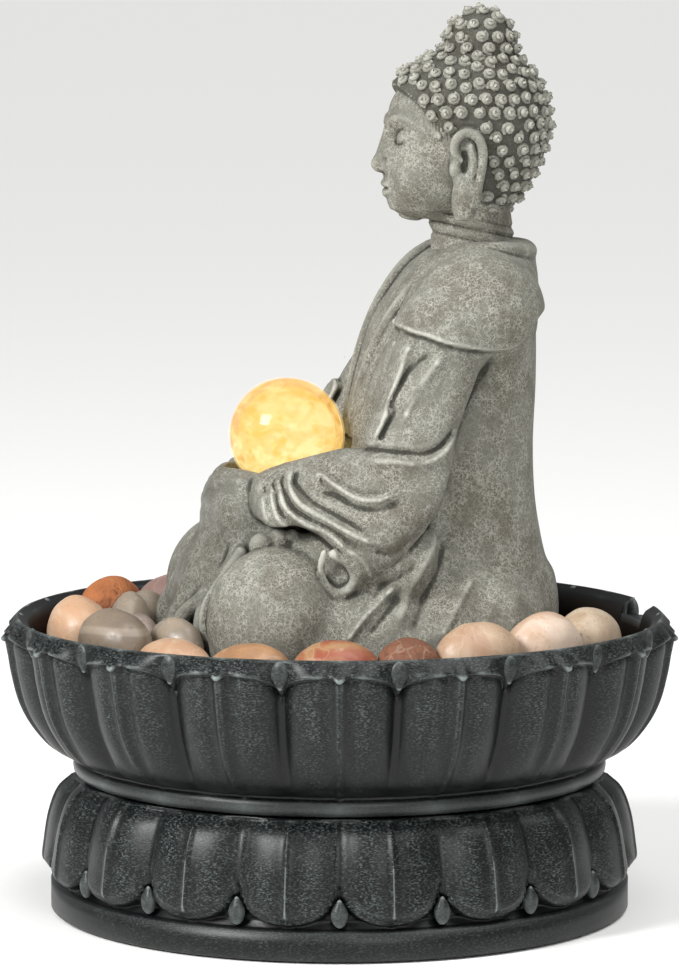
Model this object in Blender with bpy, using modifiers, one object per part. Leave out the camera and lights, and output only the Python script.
"""Tabletop water fountain: a seated, robed figure holds a lit glass ball above a lotus bowl of pebbles.

Metres, +Z up. The origin is on the surface that the fountain stands on, on the bowl's axis.
The figure faces -Y, and the notch for the power cord is in the bowl's back rim, at +Y.
"""

import math
import random

import bmesh
import bpy
from mathutils import Matrix, Vector, noise

MM = 0.001
GAP = 0.3 * MM  # between pieces that rest on or sit in each other

# Lotus bowl and base
PETALS = 18
COLUMNS_PER_PETAL = 4
BOWL_FLOOR = 60.0 * MM
RIM_HEIGHT = 94.5 * MM
NOTCH_WIDTH, NOTCH_DEPTH, NOTCH_TURN = 20.0 * MM, 5.0 * MM, 4.5
FOOT_RADIUS, FOOT_HEIGHT, FOOT_CIRCLE = 5.0 * MM, 2.5 * MM, 86.35 * MM

# Glass ball, its cup and the light under it
BALL_RADIUS = 18.5 * MM
BALL_CENTRE = Vector((0.0, -17.1, 152.3)) * MM
JET_Y = BALL_CENTRE.y
CUP_RADIUS = 15.9 * MM
CUP_BOTTOM, CUP_RIM = 129.5 * MM, 140.0 * MM
LAMP_INNER, LAMP_OUTER = 6.0 * MM, 13.5 * MM
NIPPLE_RADIUS, NIPPLE_BORE = 3.6 * MM, 2.3 * MM
TUBE_OUTER = 5.2 * MM

# Pump, which lies along Y under the figure
PUMP_HALF_WIDTH = 17.0 * MM
PUMP_BOTTOM, PUMP_TOP = 64.8 * MM, 92.0 * MM
PUMP_FRONT, PUMP_BACK = -24.0 * MM, 18.0 * MM
SPINDLE_Z = 78.4 * MM
SPIGOT_TOP = 104.0 * MM
CHAMBER_RADIUS, CHAMBER_END = 9.5 * MM, -10.5 * MM
ROTOR_BORE, ROTOR_BORE_END = 6.2 * MM, 12.0 * MM
SHAFT_RADIUS = 1.0 * MM
COVER_DEPTH, COVER_WALL = 8.0 * MM, 1.5 * MM
PLUG_Y = 8.0 * MM

# Hollow under the figure
BAY_HALF_WIDTH, BAY_FRONT, BAY_BACK, BAY_TOP = 20.0 * MM, -33.0 * MM, 26.0 * MM, 107.0 * MM
COVER_BAY_FRONT, COVER_BAY_TOP = -42.0 * MM, 94.0 * MM
ARCH_HALF_WIDTH, ARCH_TOP = 8.0 * MM, 74.0 * MM
FIGURE_BOTTOM = BOWL_FLOOR + GAP


def clear_scene():
    """Remove whatever the scene holds."""
    for obj in list(bpy.data.objects):
        bpy.data.objects.remove(obj, do_unlink=True)


def new_collection(name):
    collection = bpy.data.collections.new(name)
    bpy.context.scene.collection.children.link(collection)
    return collection


def material(name, colour, roughness, metallic=0.0, alpha=1.0):
    finish = bpy.data.materials.new(name)
    finish.use_nodes = True
    shader = finish.node_tree.nodes["Principled BSDF"]
    shader.inputs["Base Color"].default_value = (*colour, 1.0)
    shader.inputs["Roughness"].default_value = roughness
    shader.inputs["Metallic"].default_value = metallic
    shader.inputs["Alpha"].default_value = alpha
    return finish


def object_from(mesh_maker, name, finish=None, collection=None):
    """A new object in the parts (or another) collection, from a filled BMesh."""
    mesh = bpy.data.meshes.new(name)
    mesh_maker.to_mesh(mesh)
    mesh_maker.free()
    obj = bpy.data.objects.new(name, mesh)
    (collection or PARTS).objects.link(obj)
    if finish:
        mesh.materials.append(finish)
    mesh.shade_smooth()
    mesh.set_sharp_from_angle(angle=math.radians(35))
    return obj


def box(low, high):
    """BMesh of a box between two corners."""
    low, high = Vector(low), Vector(high)
    made = bmesh.new()
    bmesh.ops.create_cube(made, size=1.0)
    bmesh.ops.scale(made, vec=high - low, verts=made.verts)
    bmesh.ops.translate(made, vec=(high + low) / 2, verts=made.verts)
    return made


def cylinder(start, end, radius, end_radius=None, segments=20):
    """BMesh of a closed cylinder or cone between two points."""
    start, end = Vector(start), Vector(end)
    along = end - start
    made = bmesh.new()
    bmesh.ops.create_cone(
        made, cap_ends=True, segments=segments, radius1=radius,
        radius2=radius if end_radius is None else end_radius, depth=along.length,
    )
    turn = along.to_track_quat("Z", "Y").to_matrix().to_4x4()
    bmesh.ops.transform(made, matrix=Matrix.Translation((start + end) / 2) @ turn, verts=made.verts)
    return made


def cutter(made, name):
    """A hidden object for a Boolean, from a filled BMesh."""
    obj = object_from(made, name, collection=CUTTERS)
    obj.hide_render = True
    obj.display_type = "WIRE"
    return obj


def boolean(target, other, operation="DIFFERENCE"):
    step = target.modifiers.new(f"{operation.lower()} {other.name}", "BOOLEAN")
    step.operation = operation
    step.object = other


def turned(name, profile, finish, steps=32, centre=(0.0, 0.0)):
    """A solid of revolution: the closed (radius, z) outline runs down its outer side first."""
    mesh = bpy.data.meshes.new(name)
    count = len(profile)
    closed = [(i, (i + 1) % count) for i in range(count)]
    if profile[0][0] == 0.0 and profile[-1][0] == 0.0:
        closed.pop()
    mesh.from_pydata([(radius, 0.0, z) for radius, z in profile], closed, [])
    mesh.materials.append(finish)
    obj = bpy.data.objects.new(name, mesh)
    PARTS.objects.link(obj)
    obj.location = (*centre, 0.0)
    screw = obj.modifiers.new("turn", "SCREW")
    screw.steps = screw.render_steps = steps
    screw.use_merge_vertices = True
    screw.merge_threshold = 0.00001
    return obj


def petalled(name, outline, finish):
    """A turned casting whose outer points dip between petals.

    Each outline point is (radius, z, dip): dip is how far the surface falls back in the valley
    between two petals. The first petal's valley is on +X when `dip` is positive, its rib when negative.
    """
    made = bmesh.new()
    ring = [made.verts.new((radius, 0.0, z)) for radius, z, _ in outline]
    dips = {round(v.co.z, 7): [] for v in ring}
    for vert, (radius, z, dip) in zip(ring, outline):
        dips[round(z, 7)].append((radius, dip))
    edges = [made.edges.new((ring[i], ring[i + 1])) for i in range(len(ring) - 1)]
    if outline[0][0] > 0.0:
        edges.append(made.edges.new((ring[-1], ring[0])))
    steps = PETALS * COLUMNS_PER_PETAL
    bmesh.ops.spin(
        made, geom=ring + edges, axis=(0, 0, 1), cent=(0, 0, 0), angle=math.tau, steps=steps,
        use_duplicate=False,
    )
    bmesh.ops.remove_doubles(made, verts=made.verts, dist=0.01 * MM)
    for vert in made.verts:
        radius = math.hypot(vert.co.x, vert.co.y)
        for own, dip in dips.get(round(vert.co.z, 7), []):
            if dip and abs(own - radius) < 0.01 * MM:
                angle = math.atan2(vert.co.y, vert.co.x)
                phase = angle * PETALS / math.tau + (0.0 if dip > 0 else 0.5)
                away = abs(2 * (phase - math.floor(phase)) - 1)  # 0 on the rib, 1 in the valley
                scale = 1 - abs(dip) * away**3 / radius
                vert.co.x *= scale
                vert.co.y *= scale
                break
    bmesh.ops.recalc_face_normals(made, faces=made.faces)
    return object_from(made, name, finish)


def lotus_base(finish):
    """Hollow pedestal, open below, with a flange on top that carries the bowl."""
    outline = [
        (74.0, 42.6, 0), (74.0, 39.8, 0), (83.0, 39.8, 0), (86.3, 31.0, 0), (88.2, 20.5, 0), (88.0, 4.4, 0),
        (80.0, 4.4, 0), (80.0, 0.7, 0), (92.7, 0.7, 0), (92.7, 9.9, 0), (94.3, 12.4, -2.6),
        (94.6, 20.0, -3.0), (93.0, 30.5, -3.0), (90.3, 38.2, -2.6), (86.0, 42.6, -1.2),
    ]
    base = petalled("lotus_base", [(r * MM, z * MM, dip * MM) for r, z, dip in outline], finish)
    for x, y in foot_places():
        seat = cylinder((x, y, -MM), (x, y, FOOT_HEIGHT + GAP), FOOT_RADIUS + GAP)
        boolean(base, cutter(seat, f"foot_seat_{x:.3f}_{y:.3f}"))
    return base


def lotus_bowl(finish):
    """Water basin. Its rolled bead stands on the base's flange."""
    outline = [
        (0.0, 60.0, 0), (82.0, 60.0, 0), (88.5, 64.0, 0), (93.5, 70.0, 0), (96.0, 76.0, 0), (97.5, 84.0, 0),
        (99.5, 92.0, 0), (102.4, 94.5, 0), (103.4, 94.5, 0), (107.5, 89.5, 5.0),
        (104.9, 84.4, 4.4), (104.2, 78.0, 4.5), (102.3, 69.0, 4.5), (98.6, 61.3, 4.2), (92.7, 53.6, 2.6),
        (84.2, 49.6, 0.4), (84.8, 47.0, 0), (84.4, 44.6, 0), (82.4, 43.2, 0), (78.5, 43.2, 0),
        (77.5, 56.8, 0), (0.0, 56.8, 0),
    ]
    bowl = petalled("lotus_bowl", [(r * MM, z * MM, dip * MM) for r, z, dip in outline], finish)
    half = NOTCH_WIDTH / 2
    notch = box((-half, 80 * MM, RIM_HEIGHT - NOTCH_DEPTH), (half, 120 * MM, RIM_HEIGHT + 5 * MM))
    turn = Matrix.Rotation(math.radians(NOTCH_TURN), 4, "Z")
    bmesh.ops.transform(notch, matrix=turn, verts=notch.verts)
    boolean(bowl, cutter(notch, "cord_notch"))
    return bowl


def foot_places():
    """(x, y) of the four foot pads."""
    turns = [math.radians(45 + 90 * i) for i in range(4)]
    return [(FOOT_CIRCLE * math.cos(turn), FOOT_CIRCLE * math.sin(turn)) for turn in turns]


def foot_pads(finish):
    for number, (x, y) in enumerate(foot_places(), 1):
        object_from(cylinder((x, y, 0), (x, y, FOOT_HEIGHT), FOOT_RADIUS), f"foot_pad_{number}", finish)


def add_ball(made, centre, radii, turn=0.0):
    """Add an ellipsoid, in millimetres, turned about X by some degrees."""
    place = Matrix.Translation(Vector(centre) * MM) @ Matrix.Rotation(math.radians(turn), 4, "X")
    bmesh.ops.create_icosphere(
        made, subdivisions=3, radius=1.0, matrix=place @ Matrix.Diagonal((*(r * MM for r in radii), 1.0))
    )


def add_limb(made, start, end, first, last):
    """Add a limb with round ends, in millimetres, as balls that overlap closely."""
    start, end = Vector(start), Vector(end)
    count = math.ceil((end - start).length / 3.5)
    for i in range(count + 1):
        t = i / count
        add_ball(made, start.lerp(end, t), [first + (last - first) * t] * 3)


def add_loft(made, sections, roundness, points=28):
    """Add a closed loft through level sections (z, front y, back y, half width), in millimetres.

    A roundness of 1 makes the sections ellipses, and less makes them squarer.
    """
    rings = []
    for z, front, back, half in sections:
        ring = []
        for i in range(points):
            turn = math.tau * i / points
            side, depth = math.cos(turn), math.sin(turn)
            x = half * math.copysign(abs(side) ** roundness, side)
            y = (front + back) / 2 + (back - front) / 2 * math.copysign(abs(depth) ** roundness, depth)
            ring.append(made.verts.new((x * MM, y * MM, z * MM)))
        rings.append(ring)
    for low, high in zip(rings, rings[1:]):
        for i in range(points):
            j = (i + 1) % points
            made.faces.new((low[i], low[j], high[j], high[i]))
    made.faces.new(reversed(rings[0]))
    made.faces.new(rings[-1])


def figure_masses():
    """The figure's main masses, as closed forms that overlap: plinth, legs, torso, arms, cape and head."""
    made = bmesh.new()
    add_loft(made, [  # plinth and folded legs
        (56, -45, 62, 58), (74, -47, 64, 60), (82, -50, 68.5, 63), (94, -50, 69.5, 64), (101, -42, 69.5, 58),
        (107, -30, 68, 50),
    ], roundness=0.95)
    add_loft(made, [  # robe from the hips to the neck
        (96, -10, 69.3, 56), (106, -8, 69, 52), (120, -4, 66, 47), (133, 0, 63.5, 43), (150, 1, 63.5, 41),
        (168, 2, 64.5, 41), (184, 7, 65.3, 42), (191, 10.5, 65.5, 41), (197, 14, 65.2, 37),
        (203.5, 18.5, 64.5, 30), (208, 23.5, 64, 23), (212, 27, 62.5, 18),
    ], roundness=0.8)
    for side in (-1, 1):
        add_ball(made, (side * 46, -28, 99), (22, 21.5, 23))  # knee
        add_limb(made, (side * 44, -24, 93), (side * 34, 35, 93), 22, 23)  # thigh
        add_limb(made, (side * 42, -34, 90), (side * -6, -40, 92), 16, 14)  # shin
        add_ball(made, (side * 30, 42, 195), (23, 23, 17))  # cape over the shoulder
        add_limb(made, (side * 38, 29, 186), (side * 46, 15, 148), 14, 14)  # upper arm
        add_limb(made, (side * 46, 18, 141), (side * 22, -24, 131), 14, 11)  # forearm
        add_limb(made, (side * 47, 12, 128), (side * 50, -8, 116), 14, 9)  # hanging sleeve
        add_ball(made, (side * 10, -34, 130), (15, 10, 12))  # hand
    add_ball(made, (0, -17, 120), (30, 26, 22))  # lap under the ball
    add_ball(made, (0, -42, 104), (24, 14, 20))  # robe falling over the shins
    add_ball(made, (0, 44, 214), (14, 14, 16))  # neck
    add_ball(made, (0, 44, 252), (25, 25, 26))  # hair
    add_ball(made, (0, 48, 275), (13.5, 13.5, 14))  # crown bump
    add_ball(made, (0, 35, 243), (20, 20, 20))  # face, a plain form
    add_ball(made, (0, 47, 234), (21, 17, 16))  # nape
    for side in (-1, 1):
        add_ball(made, (side * 23.5, 36.5, 236), (3.5, 6, 15))  # ear
    return made


def seated_figure(finish):
    """One hollow casting, open below, with a pump bay, a shaft for the tube and a seat for the cup."""
    figure = object_from(figure_masses(), "seated_figure", finish)
    skin = figure.modifiers.new("one skin", "REMESH")
    skin.mode = "VOXEL"
    skin.voxel_size = 2.2 * MM
    smooth = figure.modifiers.new("soften", "SMOOTH")
    smooth.factor, smooth.iterations = 0.5, 3
    thin = figure.modifiers.new("thin out", "DECIMATE")
    thin.ratio = 0.06
    under = BOWL_FLOOR - 20 * MM
    below = box((-90 * MM, -90 * MM, under), (90 * MM, 90 * MM, FIGURE_BOTTOM))
    boolean(figure, cutter(below, "below_figure"))
    bay = box((-BAY_HALF_WIDTH, BAY_FRONT, under), (BAY_HALF_WIDTH, BAY_BACK, BAY_TOP))
    boolean(figure, cutter(bay, "pump_bay"))
    front_bay = box((-BAY_HALF_WIDTH, COVER_BAY_FRONT, under), (BAY_HALF_WIDTH, BAY_FRONT + MM, COVER_BAY_TOP))
    boolean(figure, cutter(front_bay, "cover_bay"))
    lamp_shaft = cylinder((0, JET_Y, 90 * MM), (0, JET_Y, CUP_BOTTOM), LAMP_OUTER + 0.7 * MM, segments=28)
    boolean(figure, cutter(lamp_shaft, "lamp_shaft"))
    seat = cylinder((0, JET_Y, CUP_BOTTOM - GAP), (0, JET_Y, 152 * MM), CUP_RADIUS + 0.4 * MM,
                    CUP_RADIUS + 6 * MM, segments=28)
    boolean(figure, cutter(seat, "cup_seat"))
    room = bmesh.new()
    bmesh.ops.create_uvsphere(room, u_segments=24, v_segments=16, radius=BALL_RADIUS + 0.9 * MM)
    bmesh.ops.translate(room, vec=BALL_CENTRE, verts=room.verts)
    boolean(figure, cutter(room, "ball_room"))
    arch = box((-ARCH_HALF_WIDTH, 20 * MM, under), (ARCH_HALF_WIDTH, 80 * MM, ARCH_TOP))
    boolean(figure, cutter(arch, "cord_arch"))
    return figure


def ball_seat(z, clearance):
    """Radius at height z of the hollow that the ball turns in."""
    return math.sqrt((BALL_RADIUS + clearance) ** 2 - (BALL_CENTRE.z - z) ** 2)


def ball_cup(finish):
    """Clear cup with the jet's nozzle at its bottom and a nipple for the tube below."""
    clearance = 0.5 * MM
    heights = [CUP_RIM - (CUP_RIM - 133.55 * MM) * i / 5 for i in range(6)]
    hollow = [(ball_seat(z, clearance), z) for z in heights]
    nipple_end = CUP_BOTTOM - 8 * MM
    profile = [
        (CUP_RADIUS, CUP_RIM), (CUP_RADIUS, CUP_BOTTOM), (NIPPLE_RADIUS, CUP_BOTTOM),
        (NIPPLE_RADIUS, nipple_end), (NIPPLE_BORE, nipple_end), (NIPPLE_BORE, 133.3 * MM), *reversed(hollow),
    ]
    turned("ball_cup", profile, finish, centre=(0, JET_Y))


def lamp(housing_finish, lens_finish):
    """Ring of potted lamps under the cup, and the clear lens over them."""
    low, split, top = 122.0 * MM, 127.0 * MM, CUP_BOTTOM - GAP
    turned("led_ring", [(LAMP_OUTER, split), (LAMP_OUTER, low), (LAMP_INNER, low), (LAMP_INNER, split)],
           housing_finish, steps=28, centre=(0, JET_Y))
    turned("led_lens", [(LAMP_OUTER, top), (LAMP_OUTER, split + GAP), (LAMP_INNER, split + GAP),
                        (LAMP_INNER, top)], lens_finish, steps=28, centre=(0, JET_Y))


def glass_ball(finish):
    made = bmesh.new()
    bmesh.ops.create_uvsphere(made, u_segments=24, v_segments=14, radius=BALL_RADIUS)
    ball = object_from(made, "glass_ball", finish)
    ball.location = BALL_CENTRE
    return ball


def water_tube(finish):
    """Soft tube from the pump's spigot up to the cup's nipple."""
    low, high, bore = 95.3 * MM, 127.5 * MM, NIPPLE_RADIUS + GAP
    turned("water_tube", [(TUBE_OUTER, high), (TUBE_OUTER, low), (bore, low), (bore, high)], finish,
           steps=20, centre=(0, JET_Y))


def led_lead(finish, plug_finish):
    """Two-core lead from the lamps down the shaft to a plug in the pump's socket."""
    route = [(8.0, 99.3), (7.6, 101.2), (4.6, 102.8), (-1.0, 103.8), (-6.0, 105.4), (-8.4, 109.0), (-8.9, 113.0),
             (-8.9, 121.7)]
    curve = bpy.data.curves.new("led_lead", "CURVE")
    curve.dimensions = "3D"
    curve.bevel_depth = 1.1 * MM
    curve.bevel_resolution = 2
    curve.use_fill_caps = True
    spline = curve.splines.new("POLY")
    spline.points.add(len(route) - 1)
    for point, (y, z) in zip(spline.points, route):
        point.co = (0.0, y * MM, z * MM, 1.0)
    curve.materials.append(finish)
    PARTS.objects.link(bpy.data.objects.new("led_lead", curve))
    plug = object_from(box((-2.7 * MM, PLUG_Y - 1.7 * MM, 87.5 * MM), (2.7 * MM, PLUG_Y + 1.7 * MM, 99 * MM)),
                       "led_plug", plug_finish)
    edge = plug.modifiers.new("round edges", "BEVEL")
    edge.width, edge.segments = 0.5 * MM, 1


def pump_housing(finish):
    """Potted motor block with the impeller chamber in front, the outlet spigot above it and a socket."""
    made = box((-PUMP_HALF_WIDTH, PUMP_FRONT, PUMP_BOTTOM), (PUMP_HALF_WIDTH, PUMP_BACK, PUMP_TOP))
    housing = object_from(made, "pump_housing", finish)
    edges = housing.modifiers.new("round edges", "BEVEL")
    edges.width, edges.segments = 2.5 * MM, 2
    spigot = cylinder((0, JET_Y, PUMP_TOP - 3 * MM), (0, JET_Y, SPIGOT_TOP), NIPPLE_RADIUS)
    boolean(housing, cutter(spigot, "spigot"), "UNION")
    gland = cylinder((0, PUMP_BACK - 3 * MM, 71 * MM), (0, PUMP_BACK + 4 * MM, 71 * MM), 3.6 * MM, 3.0 * MM)
    boolean(housing, cutter(gland, "cord_gland"), "UNION")
    ahead = PUMP_FRONT - 5 * MM
    axis = lambda y: (0, y, SPINDLE_Z)
    hollows = {
        "chamber": cylinder(axis(ahead), axis(CHAMBER_END), CHAMBER_RADIUS, segments=28),
        "rotor_bore": cylinder(axis(ahead), axis(ROTOR_BORE_END), ROTOR_BORE, segments=24),
        "shaft_hole": cylinder(axis(ahead), axis(ROTOR_BORE_END + 3 * MM), SHAFT_RADIUS + GAP, segments=12),
        "outlet": cylinder((0, JET_Y, SPINDLE_Z), (0, JET_Y, SPIGOT_TOP + 5 * MM), NIPPLE_BORE),
        "socket": box((-3.2 * MM, PLUG_Y - 2.2 * MM, 87 * MM), (3.2 * MM, PLUG_Y + 2.2 * MM, 97 * MM)),
    }
    for name, made in hollows.items():
        boolean(housing, cutter(made, name))


def pump_cover(finish, gate_finish):
    """Snap-on intake cover with slots, and the gate that slides across them to set the flow."""
    back = PUMP_FRONT - GAP
    front = back - COVER_DEPTH
    half = PUMP_HALF_WIDTH - 1.5 * MM
    low, high = PUMP_BOTTOM + 2 * MM, PUMP_TOP - 2 * MM
    cover = object_from(box((-half, front, low), (half, back, high)), "pump_cover", finish)
    hollow = box((COVER_WALL - half, front + COVER_WALL, low + COVER_WALL),
                 (half - COVER_WALL, back + MM, high - COVER_WALL))
    boolean(cover, cutter(hollow, "cover_hollow"))
    for number in range(5):
        x = (number - 2) * 5.0 * MM
        slot = box((x - MM, front - MM, high - 11 * MM), (x + MM, front + 2 * COVER_WALL, high - 3 * MM))
        boolean(cover, cutter(slot, f"intake_slot_{number}"))
    window = box((-5 * MM, front - MM, low + 3 * MM), (5 * MM, front + 2 * COVER_WALL, low + 8 * MM))
    boolean(cover, cutter(window, "flow_window"))
    plate_back = front - GAP
    gate = object_from(box((-6 * MM, plate_back - 1.2 * MM, low + 2 * MM), (6 * MM, plate_back, low + 9 * MM)),
                       "flow_gate", gate_finish)
    tab = box((-1.5 * MM, plate_back - 3 * MM, low + 3 * MM), (1.5 * MM, plate_back - MM, low + 8 * MM))
    boolean(gate, cutter(tab, "gate_tab"), "UNION")


def impeller(finish, steel):
    """Six-bladed wheel on a magnet rotor that turns freely on a fixed steel shaft."""
    axis = lambda y: (0, y, SPINDLE_Z)
    wheel_front, wheel_back = -17.0 * MM, -12.0 * MM
    wheel = object_from(cylinder(axis(wheel_back - MM), axis(11 * MM), 5.6 * MM, segments=24), "impeller", finish)
    boolean(wheel, cutter(cylinder(axis(wheel_front), axis(wheel_back), 3.0 * MM), "wheel_hub"), "UNION")
    for number in range(6):
        blade = box((-0.6 * MM, wheel_front, 1.5 * MM), (0.6 * MM, wheel_back, 8.6 * MM))
        turn = Matrix.Rotation(math.radians(60 * number), 4, "Y")
        bmesh.ops.transform(blade, matrix=Matrix.Translation(axis(0)) @ turn, verts=blade.verts)
        boolean(wheel, cutter(blade, f"blade_{number}"), "UNION")
    bore = cylinder(axis(-20 * MM), axis(15 * MM), SHAFT_RADIUS + 0.35 * MM, segments=12)
    boolean(wheel, cutter(bore, "impeller_bore"))
    object_from(cylinder(axis(-23.4 * MM), axis(14.2 * MM), SHAFT_RADIUS, segments=12), "impeller_shaft", steel)


def suction_cups(finish):
    """Four rubber cups that hold the pump to the bowl's floor."""
    low, high = BOWL_FLOOR + GAP, PUMP_BOTTOM - GAP
    profile = [(2.0 * MM, high), (5.0 * MM, low), (4.2 * MM, low), (1.4 * MM, high - 1.2 * MM),
               (0.0, high - 1.2 * MM)]
    profile = [(0.0, high), *profile]
    places = [(x * MM, y * MM) for x in (-10, 10) for y in (-17, 11)]
    for number, place in enumerate(places, 1):
        turned(f"suction_cup_{number}", profile, finish, steps=16, centre=place)


def pebble(name, place, half_sizes, turn, tilt, seed, finish):
    """A rolled stone: an ellipsoid, lumpy by smooth noise, turned about Z and tilted."""
    made = bmesh.new()
    bmesh.ops.create_icosphere(made, subdivisions=2, radius=1.0)
    for vert in made.verts:
        vert.co *= 0.98 + 0.08 * noise.noise(vert.co * 0.9 + Vector((seed * 3.7, 0, 0)))
    shape = (
        Matrix.Translation(Vector(place) * MM)
        @ Matrix.Rotation(math.radians(turn), 4, "Z")
        @ Matrix.Rotation(math.radians(tilt), 4, "X")
        @ Matrix.Diagonal((*(half * MM for half in half_sizes), 1.0))
    )
    bmesh.ops.transform(made, matrix=shape, verts=made.verts)
    object_from(made, name, finish)


def pebbles(finishes):
    """Two layers of stones round the figure, open at the cord notch, with a few more in front of it."""
    lower_top, tallest = 79.4, 10.5
    upper = [  # angle round the bowl from +X, distance from its axis, half length, top
        (57.0, 85.0, 13.2, 100.5), (38.2, 85.0, 13.8, 102.5), (19.5, 85.0, 13.4, 101.5), (4.3, 84.0, 9.4, 98.0),
        (-10.8, 85.0, 13.0, 98.0), (-28.7, 85.0, 12.6, 96.0), (-46.8, 85.0, 12.8, 95.5),
        (-65.5, 84.6, 14.4, 101.5), (-86.0, 85.0, 13.6, 102.5), (-106.5, 85.0, 13.8, 97.0),
        (-128.0, 85.0, 14.4, 100.5), (-149.8, 85.0, 13.8, 98.0), (-171.0, 85.0, 14.0, 99.0),
        (168.0, 85.0, 13.8, 100.0), (147.0, 85.0, 13.6, 98.5), (126.0, 85.0, 13.8, 100.0),
        (-59.0, 67.5, 10.8, 99.0), (-80.0, 67.0, 11.2, 97.0), (-101.0, 67.0, 11.2, 101.0),
        (-121.0, 67.5, 10.6, 98.0),
    ]
    lower = [(112.0 + 24.2 * i, 78.0, 14.6, lower_top) for i in range(14)]
    lower += [(-101.0, 60.5, 9.8, lower_top), (-79.0, 60.5, 9.8, lower_top)]
    dice = random.Random(7)
    for count, (angle, distance, half_length, top) in enumerate(upper + lower, 1):
        under, across = (lower_top, 10.0) if count <= len(upper) else (BOWL_FLOOR / MM, 8.0)
        height = min(tallest, (top - under) / 2 - 0.2)
        if distance < 70:
            across = 6.6
        spot = Vector((distance, 0, top - height))
        spot.rotate(Matrix.Rotation(math.radians(angle), 3, "Z"))
        half_sizes = (half_length, across * dice.uniform(0.92, 1.0), height)
        finish = finishes[dice.randrange(len(finishes))]
        pebble(f"pebble_{count:02d}", spot, half_sizes, angle + 90 + dice.uniform(-4, 4),
               dice.uniform(-4, 4), count, finish)


clear_scene()
PARTS = new_collection("tabletop_fountain")
CUTTERS = new_collection("cutters")

dark_resin = material("antiqued dark resin", (0.035, 0.042, 0.043), 0.5)
grey_resin = material("cast grey polyresin", (0.26, 0.25, 0.21), 0.85)
clear_acrylic = material("clear acrylic", (0.9, 0.9, 0.85), 0.1, alpha=0.4)
lit_glass = material("warm lit glass", (1.0, 0.68, 0.25), 0.1)
black_plastic = material("black ABS", (0.02, 0.02, 0.022), 0.45)
white_plastic = material("white potting compound", (0.8, 0.8, 0.76), 0.5)
soft_rubber = material("grey rubber", (0.1, 0.1, 0.1), 0.8)
clear_tube = material("clear soft PVC", (0.75, 0.78, 0.76), 0.25, alpha=0.5)
magnet = material("ferrite magnet", (0.09, 0.09, 0.1), 0.6)
steel = material("stainless steel", (0.6, 0.6, 0.6), 0.3, metallic=1.0)
stones = [
    material("river stone beige", (0.55, 0.40, 0.30), 0.6),
    material("river stone taupe", (0.30, 0.25, 0.21), 0.6),
    material("river stone orange", (0.48, 0.22, 0.10), 0.6),
]

lotus_base(dark_resin)
lotus_bowl(dark_resin)
foot_pads(soft_rubber)
seated_figure(grey_resin)
glass_ball(lit_glass)
ball_cup(clear_acrylic)
lamp(white_plastic, clear_acrylic)
water_tube(clear_tube)
led_lead(black_plastic, black_plastic)
pump_housing(black_plastic)
pump_cover(black_plastic, white_plastic)
impeller(magnet, steel)
suction_cups(soft_rubber)
pebbles(stones)
